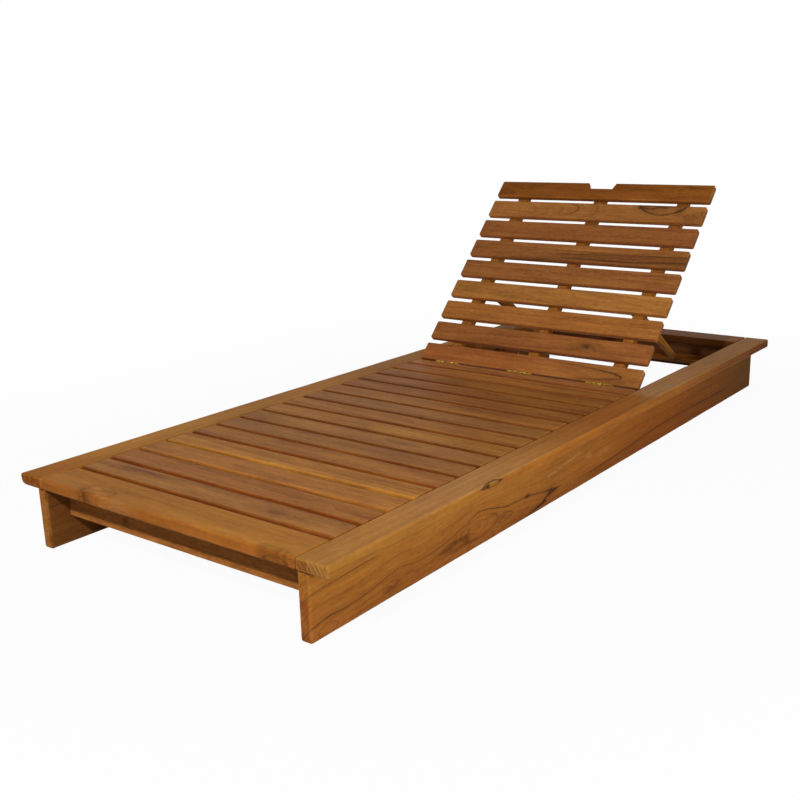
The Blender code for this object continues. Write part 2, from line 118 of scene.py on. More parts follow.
def plank_mesh(name, low, high, edge, lay, corner=0.0, step=0.006, across_step=0.006, seed=0, lowered=None,
               more=()):
    """A plank with sanded edges and fine, even faces.

    lowered() gives how far its upper side is cut down, and more adds places along it where points stand."""
    half = (high - low) / 2
    middle = (high + low) / 2
    rows, wide, side = section(half[1], half[2], edge, across_step)
    rounds = [edge, corner] if corner else [edge]
    ends = np.unique(np.round(np.outer(rounds, 1 - np.sin(np.radians([90, 72, 54, 36, 18, 0]))), 6))
    start = ends[-1]
    inner = np.linspace(start, half[0] * 2 - start, max(2, math.ceil(2 * (half[0] - start) / step)))
    from_low = np.unique(np.concatenate([ends, inner, half[0] * 2 - ends, np.array(more) + half[0]]))
    along = from_low - half[0]
    to_end = np.minimum(from_low, half[0] * 2 - from_low)

    def drawn_in(radius):
        left = np.clip(radius - to_end, 0, radius)
        return radius - np.sqrt(radius**2 - left**2)

    worn = edge * (1 + UNEVEN * sanding(along, seed))
    kept = np.maximum(worn * (1 - drawn_in(edge) / edge), LEAST_ROUND * edge)
    trimmed = drawn_in(corner) if corner else np.zeros_like(along)
    cut_down = lowered(along) if lowered else np.zeros_like(along)
    reach = half[1] - trimmed - cut_down / 2
    b = -cut_down[:, None] / 2 + (reach - worn)[:, None] * rows[:, 0] + kept[:, None] * rows[:, 2]
    c = (half[2] - worn)[:, None] * rows[:, 1] + kept[:, None] * rows[:, 3]
    a = np.broadcast_to(along[:, None], b.shape)
    places = np.stack([a, b, c], -1).reshape(-1, 3)
    ring = len(rows)
    stations = len(along)
    i, j = np.meshgrid(np.arange(stations - 1), np.arange(ring), indexing="ij")
    k = (j + 1) % ring
    quads = np.stack([i * ring + j, i * ring + k, (i + 1) * ring + k, (i + 1) * ring + j], -1).reshape(-1, 4)
    faces = quads.tolist()
    for first, outward in ((0, -1), ((stations - 1) * ring, 1)):
        lower = [first + n for n in range(wide)]
        upper = [first + wide + side + n for n in range(wide)][::-1]
        right = [first + n for n in range(wide - 1, wide + side + 1)]
        left = [first + n for n in range(wide + side + wide - 1, ring)] + [first]
        caps = [[lower[n], lower[n + 1], upper[n + 1], upper[n]] for n in range(wide - 1)] + [right, left]
        faces += [cap[::outward] for cap in caps]
    mesh = bpy.data.meshes.new(name)
    mesh.from_pydata(((places + middle) @ np.array(lay).T).tolist(), [], faces)
    mesh.shade_smooth()
    on_edge = np.broadcast_to(rows[:, 4], b.shape) * 1.0
    on_edge = np.maximum(on_edge, (to_end < edge)[:, None] * 1.0).reshape(-1)
    return mesh, places, on_edge


def blob(places, centre, size):
    """A soft spot: 1 in the middle, fading out over its size along and across."""
    away = sum(((places[:, n] - centre[n]) / size[n]) ** 2 for n in range(len(centre)))
    return np.exp(-away)


def fading(values, centre, width):
    """1 at the centre, fading out over the width on both sides."""
    return np.exp(-(((values - centre) / width) ** 2))


def rising(values, start, length):
    """0 up to the start, then up to 1 over the length."""
    return np.clip((values - start) / length, 0, 1)


def above_line(places, points, soft):
    """Height above a line drawn along the grain, and how far past its ends a place is."""
    x, y = np.array(points).T
    near = np.linspace(-soft, soft, 5)
    line = sum(np.interp(places[:, 0] + d, x, y) for d in near) / len(near)
    beyond = np.maximum(0, np.maximum(x[0] - places[:, 0], places[:, 0] - x[-1]))
    return places[:, 1] - line, beyond


def off_stroke(places, points):
    """Distance from a jagged stroke."""
    best = np.full(len(places), 9.0)
    spots = np.array(points)
    for p, q in zip(spots, spots[1:]):
        run = q - p
        share = np.clip(((places[:, :2] - p) @ run) / (run @ run), 0, 1)
        best = np.minimum(best, np.linalg.norm(places[:, :2] - p - share[:, None] * run, axis=1))
    return best


def store(mesh, name, kind, values):
    """Keeps values of each point with the piece."""
    layer = mesh.attributes.get(name) or mesh.attributes.new(name, kind, "POINT")
    key = "color" if kind == "FLOAT_COLOR" else "vector"
    layer.data.foreach_set(key, np.ascontiguousarray(values, dtype=np.float32).ravel())


LOGS_APART = 3.7
# Width and fade of the painted shade on long edges.
EDGE_SHADE_BAND, EDGE_SHADE_FADE = 0.0042, 0.0034


class Grain:
    """How one plank was sawn from its log, and what shows on it."""

    def __init__(self, places, seed, tone, heart=None, slope=None, on_edge=0.0):
        draw = np.random.default_rng(seed)
        drawn_heart = (draw.uniform(-0.08, 0.08), -draw.uniform(0.035, 0.11))
        drawn_slope = draw.uniform(-0.03, 0.03, 2)
        heart = drawn_heart if heart is None else heart
        slope = drawn_slope if slope is None else slope
        self.places = places
        self.log = places.copy()
        self.log[:, 1] += slope[0] * places[:, 0] - heart[0]
        self.log[:, 2] += slope[1] * places[:, 0] - heart[1]
        self.log[:, 0] += LOGS_APART * seed
        count = len(places)
        reach = np.abs(places[:, 0])
        self.end = reach > reach.max() - 0.00001
        self.tone = np.column_stack([np.tile(TONES[tone], (count, 1)), self.end])
        self.swell = np.zeros(count)
        self.veins = np.ones((count, 3))
        self.force = np.zeros((count, 3))
        self.stain = np.zeros(count)
        self.chalk = np.zeros(count)
        self.worn = np.zeros(count) + on_edge

    def knot(self, a, b, size, dark=0.5, height=0.012):
        """Rings that bend round a knot, with a dark heart."""
        self.swell += height * blob(self.places, (a, b), (2.2 * size, size))
        self.stain += dark * blob(self.places, (a, b), (0.7 * size, 0.4 * size))

    def vein(self, layer, height, force):
        """A dark vein where height is 0; it takes its layer over where it is the stronger."""
        wins = force > self.force[:, layer]
        self.veins[wins, layer] = height[wins]
        self.force[wins, layer] = force[wins]

    def line(self, points, force=0.9, soft=0.012, lean=0.0, layer=0, fade=0.02, thick=1.0):
        """A vein along the grain, which leans through the thickness."""
        height, beyond = above_line(self.places, points, soft)
        deep = self.places[:, 2].max() - self.places[:, 2]
        self.vein(layer, (height + lean * deep) / thick, force * fading(beyond, 0, fade))

    def loop(self, a, b, half_length, half_width, force=0.9, layer=1, way=1, thick=1.0):
        """A vein round a pointed loop; way 2 draws it on the plank's edge."""
        side = self.places[:, way] - b
        away = np.abs((self.places[:, 0] - a) / half_length) ** 1.4 + (side / half_width) ** 2
        self.vein(layer, (np.sqrt(away) - 1) * half_width / thick, force * fading(away, 0, 4))

    def arch(self, a, b, blunt, length, force=0.9, layer=0, thick=1.0):
        """A vein in an arch with its tip at a; blunt is the tip's radius, and with a minus it points back."""
        side = self.places[:, 1] - b
        height = (side**2 - 2 * blunt * (a - self.places[:, 0])) / (2 * np.hypot(side, blunt))
        self.vein(layer, height / thick, force * fading(self.places[:, 0], a, length))

    def tint(self, red, green, blue, share=1.0):
        """Shifts the colour by these parts of itself, in full where share is 1."""
        self.tone[:, :3] *= 1 + np.multiply.outer(share, (red, green, blue))

    def shade(self, a, b, length, width, amount):
        """A darker (or with a minus, paler) patch."""
        self.tint(-amount, -amount, -amount, blob(self.places, (a, b), (length, width)))

    def paint_edge_shade(self, red, green, blue):
        """Darkens the long edges with painted shade, standing in for the shade in the gaps and on edges
        turned from the light.
        """
        side = np.abs(self.places[:, 1])
        share = rising(side, side.max() - EDGE_SHADE_BAND, EDGE_SHADE_FADE)
        self.tint(-red, -green, -blue, share * share * (3 - 2 * share))
        self.worn[:] = 0

    def keep(self, mesh):
        """Stores it all with the piece; the rings swell round the knots."""
        radius = np.hypot(self.log[:, 1], self.log[:, 2])
        self.log[:, 1:] *= (1 + self.swell / radius)[:, None]
        store(mesh, "log", "FLOAT_VECTOR", self.log)
        store(mesh, "tone", "FLOAT_COLOR", self.tone)
        store(mesh, "veins", "FLOAT_VECTOR", self.veins)
        store(mesh, "force", "FLOAT_VECTOR", self.force)
        store(mesh, "mark", "FLOAT_VECTOR", np.column_stack([self.stain, self.chalk, self.worn]))


def planed(node, lay, edge, seed, tone, heart=None, slope=None, **cut):
    """A node as a plank of its own: the mesh, its grain and half its size."""
    low, high = extent(node, lay)
    mesh, places, on_edge = plank_mesh(node, low, high, edge, lay, seed=seed, **cut)
    return mesh, Grain(places, seed, tone, heart, slope, on_edge), (high - low) / 2


def linked(name, data):
    """A new object in the scene."""
    obj = bpy.data.objects.new(name, data)
    bpy.context.scene.collection.objects.link(obj)
    return obj


def piece(name, mesh, material, nodes, body):
    """Puts a finished mesh in the place of its nodes."""
    obj = linked(name, mesh)
    mesh.materials.clear()
    mesh.materials.append(material)
    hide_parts(*nodes)
    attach(obj, body)


class Amount:
    """A value in a node tree that takes part in plain sums."""

    def __init__(self, tree, socket=None):
        self.tree = tree
        self.socket = socket

    def made(self, kind, settings=None, sockets=None, out=0):
        """Adds a node: its type, its settings, then the values or links of its sockets."""
        node = self.tree.nodes.new(kind)
        for key, value in (settings or {}).items():
            setattr(node, key, value)
        for key, value in (sockets or {}).items():
            if isinstance(value, Amount):
                self.tree.links.new(value.socket, node.inputs[key])
            elif node.inputs[key].type == "RGBA":
                node.inputs[key].default_value = (*value, 1.0)
            else:
                node.inputs[key].default_value = value
        return Amount(self.tree, node.outputs[out])

    def out(self, name):
        return Amount(self.tree, self.socket.node.outputs[name])

    def math(self, operation, a, b=0.0):
        return self.made("ShaderNodeMath", {"operation": operation}, {0: a, 1: b})

    def __add__(self, other):
        return self.math("ADD", self, other)

    __radd__ = __add__

    def __sub__(self, other):
        return self.math("SUBTRACT", self, other)

    def __rsub__(self, other):
        return self.math("SUBTRACT", other, self)

    def __mul__(self, other):
        return self.math("MULTIPLY", self, other)

    __rmul__ = __mul__

    def __truediv__(self, other):
        return self.math("DIVIDE", self, other)

    def __pow__(self, other):
        return self.math("POWER", self, other)

    def __abs__(self):
        return self.math("ABSOLUTE", self)

    def between(self, low, high):
        """0 below low, 1 above high, and smooth in between."""
        sockets = {"Value": self, "From Min": low, "From Max": high}
        return self.made("ShaderNodeMapRange", {"interpolation_type": "SMOOTHSTEP"}, sockets)

    def noise(self, stretch, detail=2.0, rough=0.5):
        """Cloudy noise about 0, on this place stretched along each way."""
        place = self.made("ShaderNodeVectorMath", {"operation": "MULTIPLY"}, {0: self, 1: stretch})
        sockets = {"Vector": place, "Scale": 1.0, "Detail": detail, "Roughness": rough}
        return self.made("ShaderNodeTexNoise", {}, sockets) * 2.0 - 1.0

    def mixed(self, first, second):
        """A colour between two, by this value."""
        settings = {"data_type": "RGBA", "clamp_factor": True}
        return self.made("ShaderNodeMix", settings, {0: self, 6: first, 7: second}, 2)


def kept(values, name, out="Vector"):
    """What a piece keeps under a name."""
    return values.made("ShaderNodeAttribute", {"attribute_name": name}, {}, out)


def split(vector):
    """Its three parts."""
    parts = vector.made("ShaderNodeSeparateXYZ", {}, {0: vector})
    return parts, parts.out("Y"), parts.out("Z")


def new_material(name):
    """A material, its shader and a start for the values that feed it."""
    material = bpy.data.materials.new(name)
    material.use_nodes = True
    return material, material.node_tree.nodes["Principled BSDF"], Amount(material.node_tree)


def feed(shader, colour, matt, height, strength, depth):
    """Gives a shader its colour, its roughness and its fine bumps."""
    bump = height.made("ShaderNodeBump", {}, {"Strength": strength, "Distance": depth, "Height": height})
    for socket, value in (("Base Color", colour), ("Roughness", matt), ("Normal", bump)):
        value.tree.links.new(value.socket, shader.inputs[socket])


DARK_WOOD, PALE_WOOD = (0.46, 0.36, 0.44), (1.48, 1.62, 1.48)
VEIN_INK, STAIN_INK = (0.046, 0.018, 0.008), (0.040, 0.015, 0.007)
CHALKED, RUBBED_AND_HIGHLIT = (0.50, 0.34, 0.14), (0.44, 0.205, 0.055)


def teak(name, ring_gap=0.0065, lines=0.55, ends=0.5, figure=1.0, clouds=1.0, gloss=0.50, shine=0.05):
    """Oiled teak as a solid: rings about the log's heart, fibres, flecks and pores along it."""
    material, shader, wood = new_material(name)
    log = kept(wood, "log")
    veins, forces = split(kept(wood, "veins")), split(kept(wood, "force"))
    stain, chalk, worn = split(kept(wood, "mark"))
    tone, end = kept(wood, "tone", "Color"), kept(wood, "tone", "Alpha")
    _, across, through = split(log)

    drift = log.noise((2.4, 13.0, 13.0), 3.0)
    radius = (across * across + through * through) ** 0.5 + drift * 0.008
    turn = radius / ring_gap
    year = wood.math("FLOOR", turn)
    part = turn - year

    def lot(number):
        """A value from 0 to 1 drawn for each number."""
        return wood.made("ShaderNodeTexWhiteNoise", {"noise_dimensions": "1D"}, {"W": number})

    year_tone = lot(year) * 2.0 - 1.0
    strong = lot(year + 31.7).between(0.4, 0.95)
    late = part**7.0

    cloud = log.noise((5.0, 22.0, 22.0), 3.0, 0.6)
    streak = log.noise((15.0, 150.0, 150.0), 3.0, 0.6)
    fleck = log.noise((80.0, 190.0, 190.0), 2.0, 0.6)
    fibre = log.noise((60.0, 640.0, 640.0), 2.0)
    pores = log.noise((80.0, 1500.0, 1500.0), 1.0).between(0.22, 0.45)

    fine = streak * 0.38 + fleck * 0.38 + fibre * 0.24
    broad = cloud * 0.32 + year_tone * 0.08 + (0.4 - part) * 0.10
    light = 0.5 + figure * fine + clouds * broad + end * (0.35 - part) * ends
    spread = light.mixed(DARK_WOOD, PALE_WOOD)
    times = {"data_type": "RGBA", "blend_type": "MULTIPLY"}
    colour = wood.made("ShaderNodeMix", times, {0: 1.0, 6: tone, 7: spread}, 2)
    ink = late * strong * (end * (2 * ends - lines) + lines) + pores * 0.14
    for vein, force in zip(veins, forces):
        off = abs(vein + streak * 0.0010 + fleck * 0.0007)
        below = wood.math("LESS_THAN", vein, 0.0)
        core = (1.0 - off.between(0.0006, 0.0022)) * (0.85 + streak * 0.6 + cloud * 0.6)
        halo = (1.0 - off.between(0.0, 0.012)) * (0.14 + below * 0.20)
        ink = wood.math("MAXIMUM", ink, force * wood.math("MAXIMUM", core, halo))
    colour = ink.mixed(colour, VEIN_INK)
    colour = (stain * (1.0 + fleck * 0.6)).mixed(colour, STAIN_INK)
    colour = (chalk * (0.8 + fleck * 0.9)).mixed(colour, CHALKED)
    # Lighter rounded edges: partly sanded wear, partly a painted highlight.
    colour = (worn * (cloud + 0.1).between(0.0, 0.4) * 0.28).mixed(colour, RUBBED_AND_HIGHLIT)

    matt = gloss + fleck * 0.08 + stain * 0.15 + chalk * 0.2 + ink * 0.08 - worn * 0.05
    height = fibre * 0.5 + fleck * 0.35 - pores * 0.6 - ink * 0.5
    feed(shader, colour, matt, height, strength=0.28, depth=0.0004)
    shader.inputs["Specular IOR Level"].default_value = shine
    return material


ON_EDGE = laid(AWAY, UP)
BOARD_EDGE, BOARD_SET_IN = 0.0048, 0.005
board_teak = teak("oiled_board_teak", ring_gap=0.007, lines=0.30, ends=0.10, figure=0.5, clouds=0.8,
                  shine=0.012)

mesh, board, half = planed("side_board_right", ON_EDGE, BOARD_EDGE, 1, "orange", (-0.16, 0.18), (0.0, 0.0),
                           step=0.003, across_step=0.0025)
places = board.places
foot, ground = -half[0], -half[1]
# Painted light and shade: lighter and yellower towards the top, under the rail, and darker towards the
# ground.
board.tint(0.10, 0.28, 0.10, rising(places[:, 1], ground, 0.127) - 0.45)
# Painted shade: the board darkens and reddens towards the head end, standing in for the side lamp's falloff.
head_falloff = rising(places[:, 0] - foot, 0.85, 1.05)
board.tint(-0.50, 0, 0, head_falloff**3)
board.tint(0, -0.47, 0, head_falloff)
board.tint(0, 0, -0.76, head_falloff**0.7)


def on_board(y, z):
    """A place on the board's face, from the rail's foot end and from the ground."""
    return foot + y - BOARD_SET_IN, ground + z


def board_line(*points):
    """A line of such places."""
    return [on_board(*point) for point in points]


VEIN_HEIGHT = 0.045
vein = board_line(
    (0, 0.027), (0.0475, 0.0352), (0.08, 0.0330), (0.12, 0.0345), (0.159, 0.0379), (0.2065, 0.0463),
    (0.239, 0.0503), (0.294, 0.0425), (0.338, 0.0436), (0.396, 0.0505), (0.454, 0.0626), (0.489, 0.0740),
    (0.525, 0.0690), (0.592, 0.0526), (0.678, 0.0487), (0.735, 0.0400), (0.797, 0.0307))
rise = np.interp(places[:, 0], *np.array(vein).T) - ground - VEIN_HEIGHT
board.swell -= 0.85 * rise * blob(places, (foot + 0.42, ground + VEIN_HEIGHT), (0.45, 0.045))
tip = fading(places[:, 0], on_board(0.78, 0)[0], 0.028)
near_foot = fading(places[:, 0], on_board(0.06, 0)[0], 0.03)
browner = fading(places[:, 0], on_board(0.32, 0)[0], 0.14)
board.line(vein, 0.92 - 0.30 * browner, 0.008, 1.1, thick=0.62 + 1.7 * tip + 0.6 * near_foot)
board.line(board_line((0, 0.0875), (0.034, 0.0893), (0.087, 0.0917), (0.14, 0.094)),
           0.85, lean=1.1, layer=2, fade=0.05, thick=0.5)
board.line(board_line((0.742, 0.019), (0.770, 0.0265), (0.797, 0.0305)),
           1.0, 0.003, layer=2, fade=0.004, thick=1.7)
board.line(board_line((0.98, 0.022), (1.1, 0.028), (1.22, 0.0345), (1.33, 0.041), (1.5, 0.042),
                      (1.75, 0.038)), 0.65, 0.04, layer=1, fade=0.05, thick=2.0)
board.line(board_line((0.684, 0.0070), (0.705, 0.0100), (0.730, 0.0125), (0.752, 0.0175)),
           0.95, 0.003, layer=1, fade=0.005, thick=2.4)
board.arch(*on_board(0.617, 0.0325), 0.0014, 0.055, 0.65, 2, 0.8)
board.arch(*on_board(0.236, 0.0255), 0.0012, 0.035, 0.55, 2, 0.8)
board.loop(*on_board(0.494, 0.040), 0.066, 0.023, 0.40, thick=0.8)
board.loop(*on_board(0.490, 0.0425), 0.036, 0.0125, 0.36, 2, thick=0.6)
board.loop(*on_board(0.046, 0.0130), 0.024, 0.0115, 0.40, thick=0.6)
board.knot(*on_board(0.492, 0.0436), 0.014, 0.30, 0.022)
board.knot(*on_board(0.234, 0.0248), 0.010, 0.15, 0.014)
board.knot(*on_board(0.046, 0.0130), 0.009, 0.05, 0.018)
for y, z, length, width, amount in (
        (0.382, 0.031, 0.026, 0.0040, 0.55), (0.412, 0.037, 0.026, 0.0050, 0.58),
        (0.446, 0.036, 0.012, 0.0060, 0.55), (0.452, 0.026, 0.008, 0.0100, 0.30),
        (0.415, 0.022, 0.050, 0.0035, 0.42), (0.578, 0.034, 0.024, 0.0060, 0.34),
        (0.480, 0.020, 0.030, 0.0030, 0.30), (0.540, 0.050, 0.030, 0.0030, 0.28),
        (0.210, 0.0205, 0.020, 0.0055, 0.40), (0.264, 0.0320, 0.022, 0.0030, 0.30),
        (0.290, 0.022, 0.016, 0.0030, 0.26), (0.515, 0.047, 0.018, 0.0080, -0.16),
        (0.50, 0.030, 0.022, 0.0060, -0.14)):
    board.shade(*on_board(y, z), length, width, amount)
for y, z, length, width, amount in (
        (0.728, 0.0130, 0.016, 0.0028, 0.7), (0.745, 0.0170, 0.006, 0.0040, 0.7),
        (0.660, 0.0035, 0.040, 0.0024, 0.5), (0.676, 0.0490, 0.010, 0.0036, 0.95),
        (0.772, 0.0292, 0.016, 0.0040, 0.85)):
    board.stain += amount * blob(places, on_board(y, z), (length, width))
board.tint(-0.14, -0.24, -0.20, board.end & (places[:, 1] < ground + 0.075))
scratch = board_line((0.757, 0.067), (0.83, 0.074), (0.905, 0.083))
board.chalk += 0.46 * fading(off_stroke(places, scratch), 0, 0.0017)
board.chalk += 0.32 * blob(places, on_board(0.948, 0.0645), (0.014, 0.007))
board.chalk += 0.16 * blob(places, on_board(1.03, 0.056), (0.030, 0.008))
board.keep(mesh)
piece("board_right", mesh, board_teak, ["side_board_right"], "frame")

mesh, board, _ = planed("side_board_left", ON_EDGE, BOARD_EDGE, 2, "orange", (0.22, -0.04), (0.012, 0.02),
                        step=0.008)
board.knot(0.35, -0.02, 0.016, 0.3)
board.knot(-0.42, 0.015, 0.012, 0.25)
board.line([(-0.99, 0.026), (-0.5, 0.02), (-0.1, 0.008), (0.4, 0.016)], 0.5, 0.05, -0.6)
# Painted shade: the inner face is darkened, standing in for the shade under the deck.
through = board.places[:, 2]
board.tint(-0.40, -0.40, -0.20, (through > through.max() - 0.004) & ~board.end)
board.keep(mesh)
piece("board_left", mesh, board_teak, ["side_board_left"], "frame")

# Rails: two flat teak planks on top of the side boards, with a shorter one across the head end.
# Straight grain with bare ends at the foot; glued and screwed to the boards from below, edges hand-rounded.
FLAT_AWAY, FLAT_ACROSS = laid(AWAY, -RIGHT), laid(RIGHT, AWAY)
RAIL_ROUND = 0.0038
OUTER_STRIP, SIDE_STRIP = 0.006, 0.001
rail_teak = teak("oiled_rail_teak", ring_gap=0.0085, lines=0.5, ends=0.42, figure=0.55, clouds=0.9,
                 shine=0.024)


def chipped(mesh, grain, lay, spots):
    """Knocks small chips off corners, and leaves them pale."""
    co = places_of(mesh)
    for a, b, c, size, depth in spots:
        near = blob(grain.places, (a, b, c), (size, size, size))
        inward = -np.sign((a, b, c)) / math.sqrt(3)
        co += (near[:, None] * depth * inward) @ np.array(lay).T
        grain.chalk += 0.75 * near
    mesh.vertices.foreach_set("co", co.ravel())


for word, seed, heart, slope, fine in (("right", 3, (0.10, -0.052), (0.002, 0.0), 0.003),
                                       ("left", 4, (0.14, -0.02), (0.0, 0.01), 0.006)):
    node = f"side_rail_{word}"
    mesh, rail, half = planed(node, FLAT_AWAY, RAIL_ROUND, seed, "golden", heart, slope, step=fine,
                              across_step=0.8 * fine)
    places = rail.places
    from_foot = places[:, 0] + half[0]
    if word == "right":
        outer = places[:, 1] < -half[1] + OUTER_STRIP
        side_on = places[:, 1] < -half[1] + SIDE_STRIP
        on_top = ~side_on
        head_part = rising(from_foot, 1.185, 0.03)
        # Painted reflection and sheen on the top: a darker, redder band before the hinge line stands in for
        # the backrest mirrored in it; paler, bluer tints stand in for the white sky mirrored along the top
        # and beyond the hinge line.
        rail.tint(-0.14, -0.32, -0.30, fading(from_foot, 1.0, 0.22) * (1 - head_part) * on_top)
        rail.tint(0.05, 0.08, 0.30, on_top)
        rail.tint(0.07, 0.20, 0.78, fading(from_foot, 0.45, 0.22) * on_top)
        rail.tint(0.11, 0.32, 1.00, fading(from_foot, 1.24, 0.20) * head_part * on_top)
        rail.paint_edge_shade(0.10, 0.08, 0.15)
        # Painted shade: the top, and much more the outer side, darken towards the head end; the side also
        # turns redder from near the foot.
        rail.tint(-0.12, -0.08, 0, rising(from_foot, 1.35, 0.4) * on_top)
        rail.tint(0.12, -0.08, -0.24, rising(from_foot, 0.15, 0.6) * side_on)
        rail.tint(-0.57, -0.72, -0.94, rising(from_foot, 1.35, 0.6) * side_on)
        rail.tint(-0.16, -0.11, -0.04, fading(from_foot, 0, 0.15) * on_top)
        rail.tint(-0.24, -0.36, -0.44, rail.end & (places[:, 1] > 0.010))
        almond, almond_up = -0.532, 0.0070
        rail.loop(almond, almond_up, 0.034, 0.0050, 0.90, way=2, thick=0.55)
        rail.force[~outer] = 0.0
        inside = 1 - np.abs((places[:, 0] - almond) / 0.036) - np.abs(places[:, 2] - almond_up) / 0.0064
        tips = 1 - rising(places[:, 0], -0.544, 0.008) + rising(places[:, 0], -0.512, 0.006)
        rail.stain += 0.9 * outer * tips * rising(inside, 0, 0.2)
        for stroke in (((0.050, 0.006), (0.056, 0.003)), ((0.060, 0.002), (0.068, -0.004)),
                       ((0.078, 0.0), (0.083, -0.001))):
            scratch = np.array(stroke) - (half[0], 0)
            rail.chalk += 0.24 * fading(off_stroke(places, scratch), 0, 0.0018) * ~outer
        chipped(mesh, rail, FLAT_AWAY, [(-half[0], -half[1], -half[2], 0.004, 0.0015)])
    else:
        rail.tint(0.12, 0.18, 0.12)
        rail.tint(-0.09, -0.13, -0.10, rising(from_foot, 0.65, 0.25))
        rail.tint(-0.24, -0.40, -0.66, fading(from_foot, 0, 0.16))
        rail.tint(-0.08, -0.22, -0.05, rail.end)
        for b in (0.031, 0.014, -0.004, -0.024):
            rail.shade(-half[0], b, 0.004, 0.0035, 0.40)
        chipped(mesh, rail, FLAT_AWAY, [(-half[0], half[1], -half[2], 0.007, 0.003)])
    rail.keep(mesh)
    piece(f"rail_{word}", mesh, rail_teak, [node], "frame")

mesh, rail, _ = planed("head_rail", FLAT_ACROSS, RAIL_ROUND, 5, "brown")
# Painted shade: both long edges darkened strongly, standing in for the shade on the head rail's inner edge.
rail.paint_edge_shade(0.60, 0.62, 0.60)
rail.keep(mesh)
piece("rail_head", mesh, rail_teak, ["head_rail"], "frame")

# End boards: teak on edge between the side boards, tucked back under the first slat and under the head rail.
# They tie the two sides together; planed and oiled, fixed with screws from inside.
ACROSS_ON_EDGE = laid(RIGHT, UP)
INNER_EDGE = 0.0019
inner_teak = teak("planed_inner_teak", ring_gap=0.008, lines=0.5, shine=0.006)
# A near-black tone for the head board: painted shade, standing in for the backrest's shadow over its inner
# face.
TONES["deep_shade"] = (0.105, 0.036, 0.010)
for word, seed, tone in (("foot", 6, "orange"), ("head", 7, "deep_shade")):
    node = f"{word}_board"
    mesh, end, _ = planed(node, ACROSS_ON_EDGE, INNER_EDGE, seed, tone)
    end.tint(0.05, 0.06, 0.42)
    end.knot(-0.159, -0.009, 0.010, 0.9, 0.006)
    end.keep(mesh)
    piece(f"end_board_{word}", mesh, inner_teak, [node], "frame")

# Bearers: strips that carry the slats, one on each side board, one down the middle, one across at the hinges.
# Planed teak, with the notched racks for the prop on the inside of the side boards further back.
for node, lay, seed in (("bearer_left", FLAT_AWAY, 8), ("bearer_right", FLAT_AWAY, 9),
                        ("bearer_center", FLAT_AWAY, 10), ("hinge_beam", FLAT_ACROSS, 11)):
    mesh, strip, _ = planed(node, lay, INNER_EDGE, seed, "brown", step=0.012)
    strip.keep(mesh)
    piece(f"{node}_strip", mesh, inner_teak, [node], "frame")

SHARP_ANGLE = math.radians(32)


def shaped_copy(node):
    """A node's own shape as one welded mesh, sharp only where its faces meet steeply."""
    solid = bmesh.new()
    solid.from_mesh(frame["nodes"][node].data)
    bmesh.ops.remove_doubles(solid, verts=solid.verts[:], dist=0.00001)
    mesh = bpy.data.meshes.new(node)
    solid.to_mesh(mesh)
    solid.free()
    mesh.shade_smooth()
    mesh.set_sharp_from_angle(angle=SHARP_ANGLE)
    return mesh


def grained_piece(name, node, lay, seed, tone, body):
    """A piece in its node's own shape, with the grain laid along it."""
    mesh = shaped_copy(node)
    places = places_of(mesh) @ np.array(lay)
    Grain(places - (places.min(0) + places.max(0)) / 2, seed, tone).keep(mesh)
    piece(name, mesh, inner_teak, [node], body)


for word, seed in (("left", 12), ("right", 13)):
    grained_piece(f"notched_rack_{word}", f"rack_{word}", ON_EDGE, seed, "brown", "frame")

# Deck slats: seventeen teak slats laid across between the rails, corners rounded and edges sanded.
# Screwed from below; the first is wider and as thick as the rails, the last one narrower at the hinges.
SLAT_ROUND, SLAT_CORNER = 0.0026, 0.005
deck_teak = teak("oiled_deck_teak", ring_gap=0.0075, lines=0.45, figure=0.8, clouds=1.7, shine=0.036)
DECK_TONES = "grey brown tan golden tan grey grey golden tan grey tan brown brown tan amber".split()
LIKE_SLATS = len(DECK_TONES)
# Amounts (red, green, blue) of painted shade on the deck slats' long edges.
LIGHT_EDGE_SHADE, WARM_EDGE_SHADE, DEEP_EDGE_SHADE = (0.16, 0.20, 0.30), (0.32, 0.54, 0.64), (0.46, 0.60, 0.66)
OUT_OF_TRUE = 0.0005


def new_tree(name, inputs):
    """A geometry tree with these inputs, and what it is given through them."""
    tree = bpy.data.node_groups.new(name, "GeometryNodeTree")
    tree.interface.new_socket("Geometry", in_out="OUTPUT", socket_type="NodeSocketGeometry")
    for label, kind in inputs.items():
        tree.interface.new_socket(label, in_out="INPUT", socket_type=f"NodeSocket{kind}")
    return tree, Amount(tree).made("NodeGroupInput")


def finished(tree, given, shape):
    """Makes one plain mesh of a shape, in its finish, and hands it out of the tree."""
    real = given.made("GeometryNodeRealizeInstances", {}, {"Geometry": shape})
    done = given.made("GeometryNodeSetMaterial", {}, {"Geometry": real, "Material": given.out("Finish")})
    tree.links.new(done.socket, tree.nodes.new("NodeGroupOutput").inputs[0])
    return tree


def slat_tree():
    """Sets a row of slats out from one, each a little out of true, and numbers them."""
    tree, given = new_tree("slat_row", {
        "Slat": "Geometry", "Count": "Int", "First": "Vector", "Step": "Vector", "Out of true": "Float",
        "Seed": "Int", "Finish": "Material"})
    spots = given.made("GeometryNodeMeshLine", {"mode": "OFFSET"}, {
        "Count": given.out("Count"), "Start Location": given.out("First"), "Offset": given.out("Step")})
    most = given.out("Out of true")
    skew = given.made("FunctionNodeRandomValue", {"data_type": "FLOAT"},
                      {2: most * -1.0, 3: most, "Seed": given.out("Seed")}, 1)
    turn = given.made("ShaderNodeCombineXYZ", {}, {"Z": skew})
    set_out = given.made("GeometryNodeInstanceOnPoints", {},
                         {"Points": spots, "Instance": given.out("Slat"), "Rotation": turn})
    numbered = given.made("GeometryNodeStoreNamedAttribute", {"data_type": "INT", "domain": "INSTANCE"}, {
        "Geometry": set_out, "Name": "number", "Value": given.made("GeometryNodeInputIndex")})
    return finished(tree, given, numbered)


